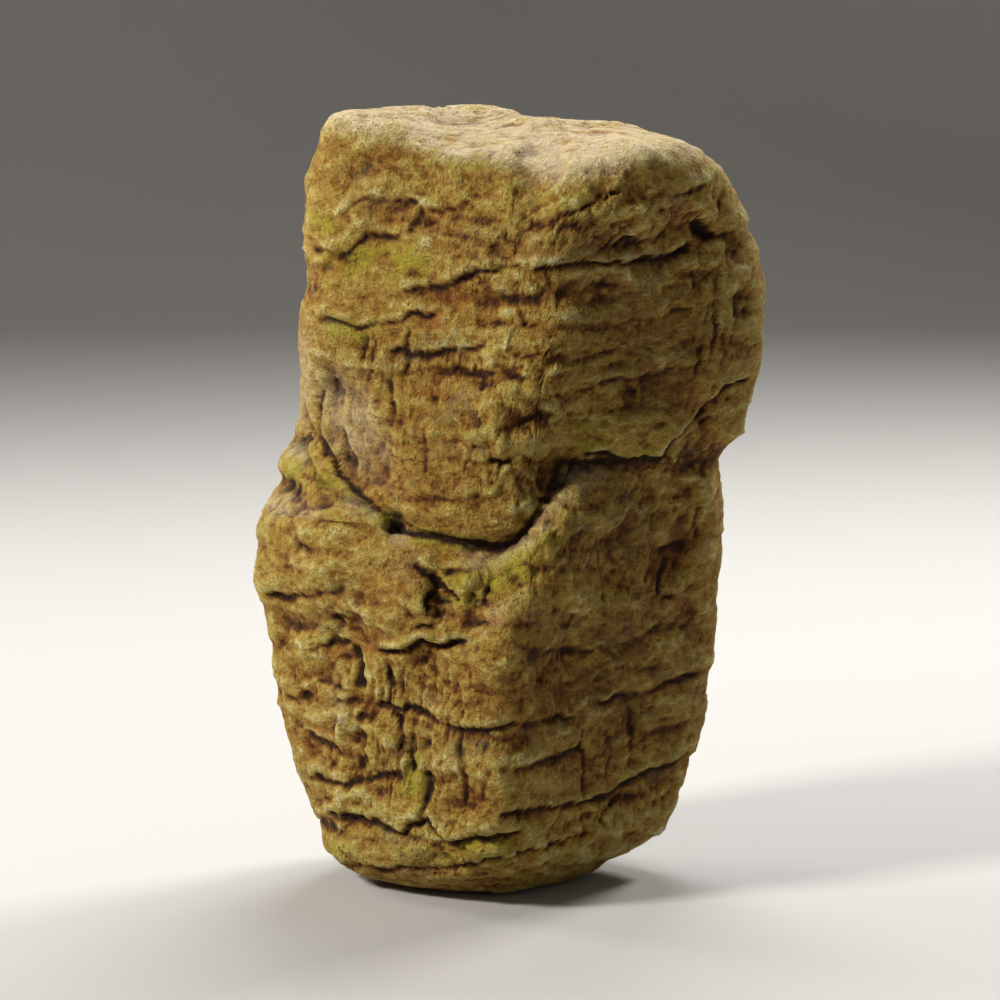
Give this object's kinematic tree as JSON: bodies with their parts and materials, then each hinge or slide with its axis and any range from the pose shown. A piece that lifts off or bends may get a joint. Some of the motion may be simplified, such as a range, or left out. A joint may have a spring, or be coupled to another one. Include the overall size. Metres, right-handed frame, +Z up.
{
  "type": "sandstone",
  "caption": "Upright weathered block of natural sandstone with a jutting chin, bedding ledges and a deep seam, standing on a small flat spot.",
  "frame": {"origin": "on the ground under the middle of the stone's outline box", "axes": "+Z up along the stone's height, -Y out of the front face with the jutting chin, +X to the right as seen from the front"},
  "size_m": [0.2568, 0.19, 0.3886],
  "materials": {
    "sandstone": "rough, matt, weathered"
  },
  "bodies": {
    "root": {"stone": "sandstone"}
  },
  "joints": []
}
